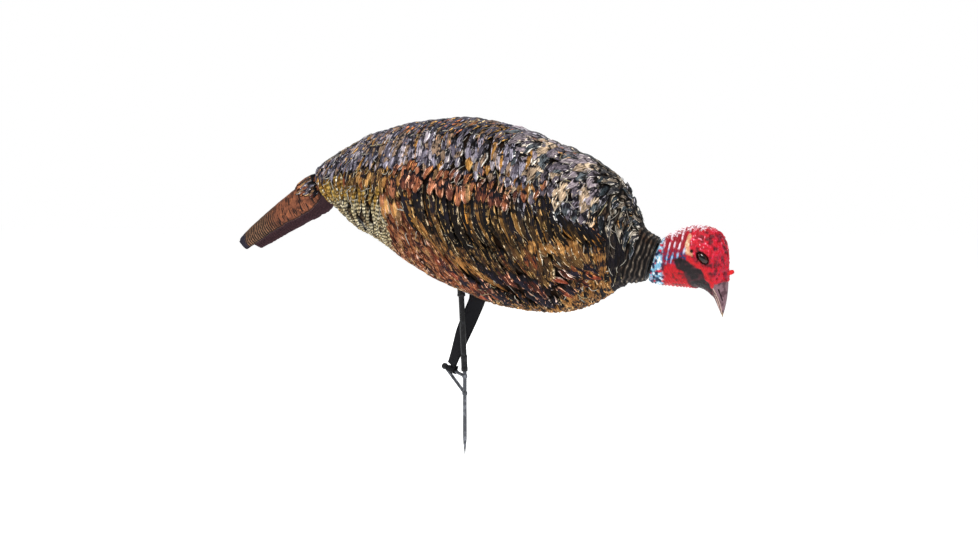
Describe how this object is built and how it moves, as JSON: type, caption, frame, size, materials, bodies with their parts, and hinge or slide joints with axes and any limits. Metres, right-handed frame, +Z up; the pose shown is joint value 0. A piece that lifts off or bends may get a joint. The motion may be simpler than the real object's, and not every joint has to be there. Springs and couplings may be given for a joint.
{
  "type": "turkey decoy",
  "caption": "Life-size feeding turkey decoy: hollow feathered body, turning head and slide-in tail, on a two-part ground stake with a foot step.",
  "frame": {"origin": "on the ground stake's axis at ground level, just under the foot step", "axes": "+X towards the head, +Y towards the bird's left side, +Z up"},
  "size_m": [0.8348, 0.2452, 0.5532],
  "materials": {
    "body_skin": "matte painted feathers, charcoal to rust brown",
    "wing_skin": "matte painted feathers, brown, ochre and black",
    "tail_skin": "matte painted tail feathers, rust with fine black bars",
    "head_paint": "satin painted skin, red with white and blue",
    "snood_rubber": "soft red rubber",
    "eye_gloss": "glossy dark brown",
    "black_plastic": "moulded black plastic",
    "pole_paint": "semi-gloss black",
    "stake_steel": "dark grey painted steel rod",
    "webbing": "black woven webbing"
  },
  "bodies": {
    "stake": {"ground_stake": "stake_steel", "foot_step_bar": "stake_steel", "foot_step_brace": "stake_steel", "foot_step_cap": "black_plastic", "ferrule": "pole_paint", "upper_pole": "pole_paint", "pole_tip": "black_plastic"},
    "decoy": {"body_shell": "body_skin", "right_wing": "wing_skin", "left_wing": "wing_skin", "right_wing_rear_peg": "black_plastic", "right_wing_front_peg": "black_plastic", "left_wing_rear_peg": "black_plastic", "left_wing_front_peg": "black_plastic", "neck_ring": "black_plastic", "tail_socket": "black_plastic", "strap_keeper": "black_plastic", "strap": "webbing", "belly_bushing": "black_plastic", "pole_socket": "black_plastic", "thrust_cap": "black_plastic"},
    "head": {"head": "head_paint", "right_eye": "eye_gloss", "left_eye": "eye_gloss", "snood": "snood_rubber", "neck_spigot": "black_plastic", "neck_clip": "black_plastic"},
    "tail": {"tail": "tail_skin", "tail_root": "black_plastic", "tail_front_rivet": "black_plastic", "tail_rear_rivet": "black_plastic"}
  },
  "joints": [
    {"name": "decoy_turn", "type": "hinge", "parent": "stake", "child": "decoy", "pos_m": [0, 0, 0], "axis": [-0.0436, 0, 0.999], "range_deg": [-35, 35], "stiffness_Nm_per_rad": 0.5, "deforming": ["strap"]},
    {"name": "head_turn", "type": "hinge", "parent": "decoy", "child": "head", "pos_m": [0.3135, 0, 0.196], "axis": [0.9511, 0, -0.309], "range_deg": [-45, 45]},
    {"name": "tail_pull", "type": "slide", "parent": "decoy", "child": "tail", "axis": [-0.8387, 0, -0.5446], "range_m": [0, 0.07]}
  ]
}
